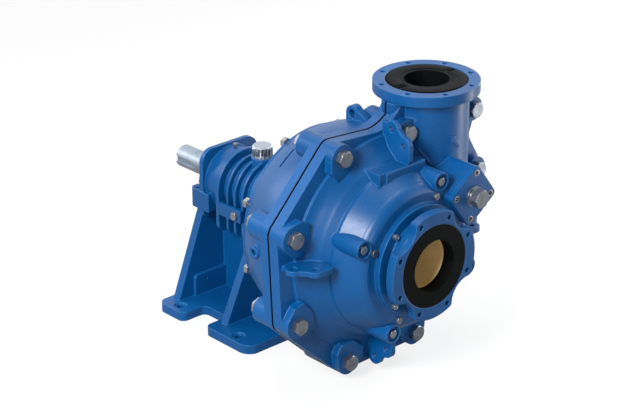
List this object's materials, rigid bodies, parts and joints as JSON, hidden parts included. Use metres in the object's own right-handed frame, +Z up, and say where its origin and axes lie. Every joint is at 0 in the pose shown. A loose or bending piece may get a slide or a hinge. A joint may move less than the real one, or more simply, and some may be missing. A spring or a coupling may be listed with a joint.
{
  "type": "slurry pump",
  "caption": "Horizontal slurry pump: split lined casing with upward discharge flange, lobed suction flange, finned bearing housing on a cast base, bare keyed shaft end.",
  "frame": {"origin": "centre of the four foot bolt holes on the underside of the base", "axes": "+Z up, out of the discharge flange; -Y out of the suction flange along the shaft; +X to the right seen from the suction end, the side of the discharge neck"},
  "size_m": [0.9032, 1.234, 0.9305],
  "materials": {
    "blue_paint": "gloss enamel",
    "black_rubber": "matt",
    "tan_rubber": "satin",
    "zinc_steel": "plated",
    "bright_steel": "machined",
    "white_iron": "as cast",
    "packing_braid": "braided",
    "plated_cap": "knurled",
    "sight_glass": "clear"
  },
  "bodies": {
    "frame": {"cover_plate": "blue_paint", "frame_plate": "blue_paint", "cover_plate_liner": "black_rubber", "frame_plate_liner": "black_rubber", "frame_liner_insert": "tan_rubber", "discharge_flange": "blue_paint", "intake_joint_ring": "black_rubber", "suction_flange": "blue_paint", "gearbox_cover": "blue_paint", "spindle_washer": "zinc_steel", "casing_bolts": "zinc_steel", "casing_nuts": "zinc_steel", "liner_studs": "zinc_steel", "liner_stud_nuts": "zinc_steel", "suction_flange_screws": "zinc_steel", "adjuster_bolts": "zinc_steel", "liner_jack_screws": "zinc_steel", "gearbox_screws": "zinc_steel", "pump_end_bearing_outer": "bright_steel", "drive_end_bearing_outer": "bright_steel", "stuffing_box": "blue_paint", "packing_rings": "packing_braid", "lantern_ring": "packing_braid", "gland": "white_iron", "gland_studs": "zinc_steel", "gland_nuts": "zinc_steel", "bearing_housing": "blue_paint", "oil_sight_glass": "sight_glass", "side_rails": "blue_paint", "rail_bolts": "zinc_steel", "grease_plug": "blue_paint", "drive_end_cover": "blue_paint", "pump_end_cover": "blue_paint", "end_cover_screws": "zinc_steel", "pump_base": "blue_paint"},
    "rotor": {"impeller": "white_iron", "shaft": "bright_steel", "shaft_sleeve": "bright_steel", "pump_end_bearing_inner": "bright_steel", "pump_end_bearing_rollers": "bright_steel", "drive_end_bearing_inner": "bright_steel", "drive_end_bearing_rollers": "bright_steel", "lock_nut": "bright_steel", "drive_end_labyrinth": "white_iron", "pump_end_labyrinth": "white_iron"},
    "throatbush": {"throatbush": "tan_rubber"},
    "adjuster": {"adjuster_spindle": "zinc_steel"},
    "cap": {"filler_cap": "plated_cap"}
  },
  "joints": [
    {"name": "rotor_spin", "type": "hinge", "parent": "frame", "child": "rotor", "pos_m": [0, -0.03, 0.45], "axis": [0, -1, 0], "continuous": true},
    {"name": "adjuster_turn", "type": "hinge", "parent": "frame", "child": "adjuster", "pos_m": [0.21785, -0.785, 0.6112], "axis": [0, -1, 0], "range_deg": [0, 1080]},
    {"name": "throatbush_feed", "type": "slide", "parent": "frame", "child": "throatbush", "axis": [0, 1, 0], "range_m": [0, 0.005]},
    {"name": "filler_cap_turn", "type": "hinge", "parent": "frame", "child": "cap", "pos_m": [0, -0.015, 0.58], "axis": [0, 0, 1], "range_deg": [0, 90]}
  ],
  "couplings": [
    {"joint": "adjuster_turn", "follows": "throatbush_feed", "rad_per_m": 3769.9}
  ]
}
